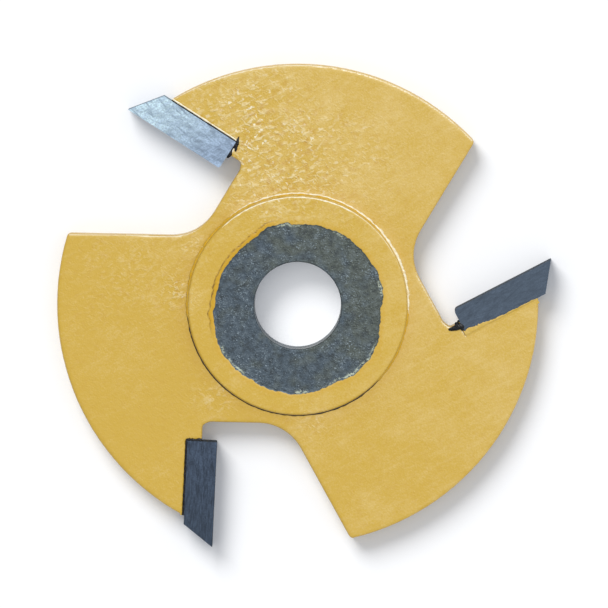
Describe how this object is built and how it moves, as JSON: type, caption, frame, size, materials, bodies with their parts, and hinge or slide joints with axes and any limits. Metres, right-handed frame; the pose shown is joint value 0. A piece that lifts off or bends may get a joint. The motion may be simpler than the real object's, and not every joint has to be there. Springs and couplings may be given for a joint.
{
  "type": "angle grinder carving disc",
  "caption": "Flat steel cutting disc with brazed carbide tips set ahead of open gullets, and a raised round hub bored for a grinder spindle.",
  "frame": {"origin": "on the bore axis, in the plane of the plate's back face", "axes": "+Z along the bore axis, from the back face towards the raised hub and the clamping nut; the disc turns anticlockwise seen from +Z; X and Y lie in the back face, with one tip pointing 27.3 degrees from +X towards +Y"},
  "size_m": [0.1272, 0.1246, 0.0095],
  "materials": {
    "gold_enamel": "thick sprayed gold enamel over steel, semi-gloss, lumpy",
    "hub_enamel": "the same gold enamel, with a bare dark steel ring round the bore",
    "ground_carbide": "ground sintered carbide, blue-grey",
    "braze_metal": "silver braze, darkened",
    "flux": "glassy black flux residue"
  },
  "bodies": {
    "root": {"cutter_plate": "gold_enamel", "hub_bushing": "hub_enamel", "hub_braze_ring": "braze_metal", "carbide_tip_1": "ground_carbide", "carbide_tip_2": "ground_carbide", "carbide_tip_3": "ground_carbide", "tip_braze_1": "braze_metal", "tip_braze_2": "braze_metal", "tip_braze_3": "braze_metal", "flux_bead_1": "flux", "flux_bead_2": "flux", "flux_bead_3": "flux"}
  },
  "joints": []
}
